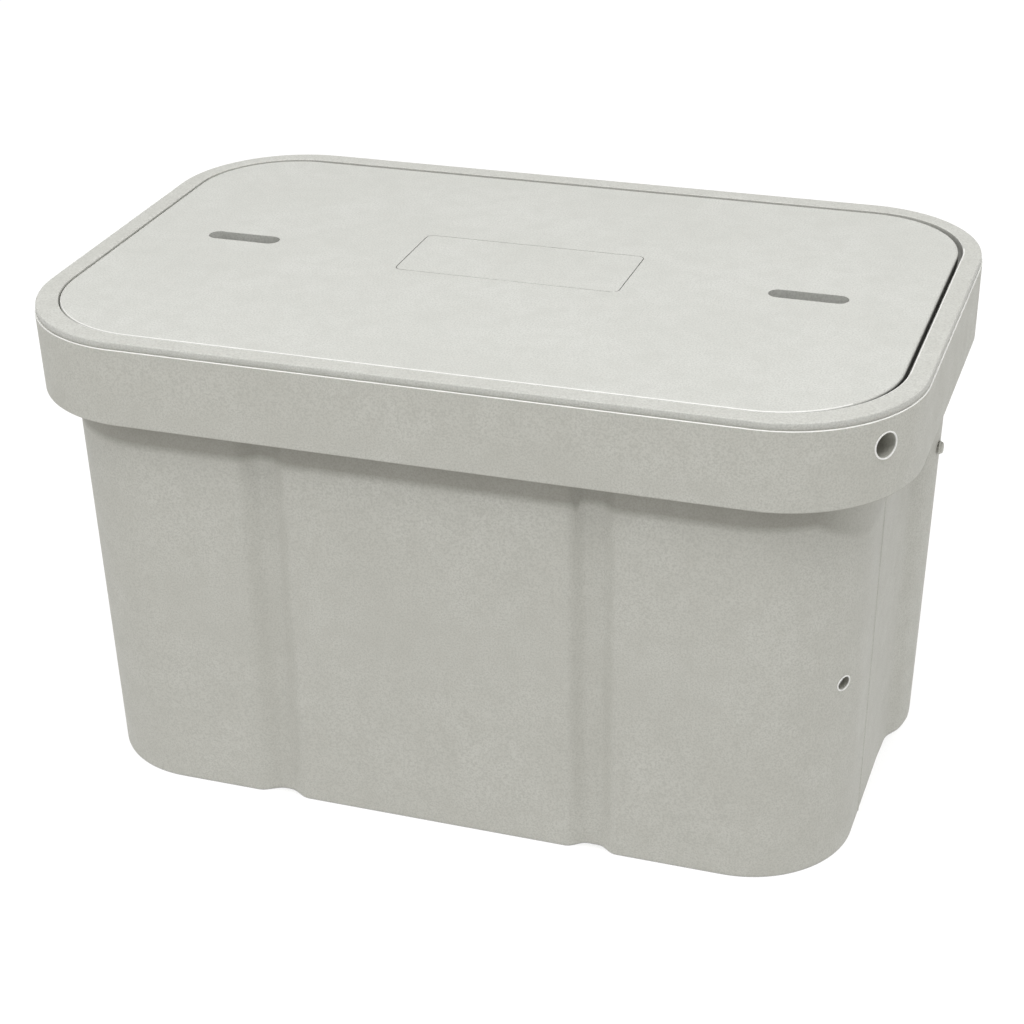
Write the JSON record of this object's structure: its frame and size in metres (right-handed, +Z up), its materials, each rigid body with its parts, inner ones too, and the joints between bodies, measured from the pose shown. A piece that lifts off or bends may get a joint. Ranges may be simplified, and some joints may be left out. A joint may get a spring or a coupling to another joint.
{
  "type": "lidded utility box",
  "caption": "Moulded plastic utility box with an open bottom, a deep collar, a lift-off lid with hand slots and a quarter-turn corner lock.",
  "frame": {"origin": "on the ground, under the middle of the collar", "axes": "+X along the long side towards the end with the lock, -Y is the front, +Z is up"},
  "size_m": [0.5416, 0.343, 0.3048],
  "materials": {
    "shell_plastic": "fine-grained moulded polyethylene, matte",
    "lid_plastic": "fine-grained moulded polyethylene, matte",
    "gasket_rubber": "black closed-cell seal",
    "steel": "stainless steel, satin"
  },
  "bodies": {
    "box": {"box_body": "shell_plastic", "rim_frame": "shell_plastic", "collar_skirt": "shell_plastic", "seat_gasket": "gasket_rubber", "frame_screw_1": "steel", "frame_screw_2": "steel", "frame_screw_3": "steel", "frame_screw_4": "steel", "frame_screw_5": "steel", "frame_screw_6": "steel", "frame_screw_7": "steel", "frame_screw_8": "steel", "lock_barrel": "steel", "lock_ring_nut": "steel", "wall_plug": "shell_plastic"},
    "lid": {"lid_panel": "lid_plastic", "lid_nameplate": "lid_plastic", "lift_bar_left": "steel", "lift_bar_right": "steel", "lock_keeper": "steel", "keeper_screw_1": "steel", "keeper_screw_2": "steel"},
    "lock": {"lock_spindle": "steel", "lock_cam": "steel", "lock_cam_nut": "steel"}
  },
  "joints": [
    {"name": "lid_lift", "type": "slide", "parent": "box", "child": "lid", "axis": [0, 0, 1], "range_m": [0, 0.06]},
    {"name": "lock_turn", "type": "hinge", "parent": "box", "child": "lock", "pos_m": [0.1892, -0.08985, 0.2836], "axis": [-0.8171, 0.5764, 0], "range_deg": [0, 90]}
  ]
}
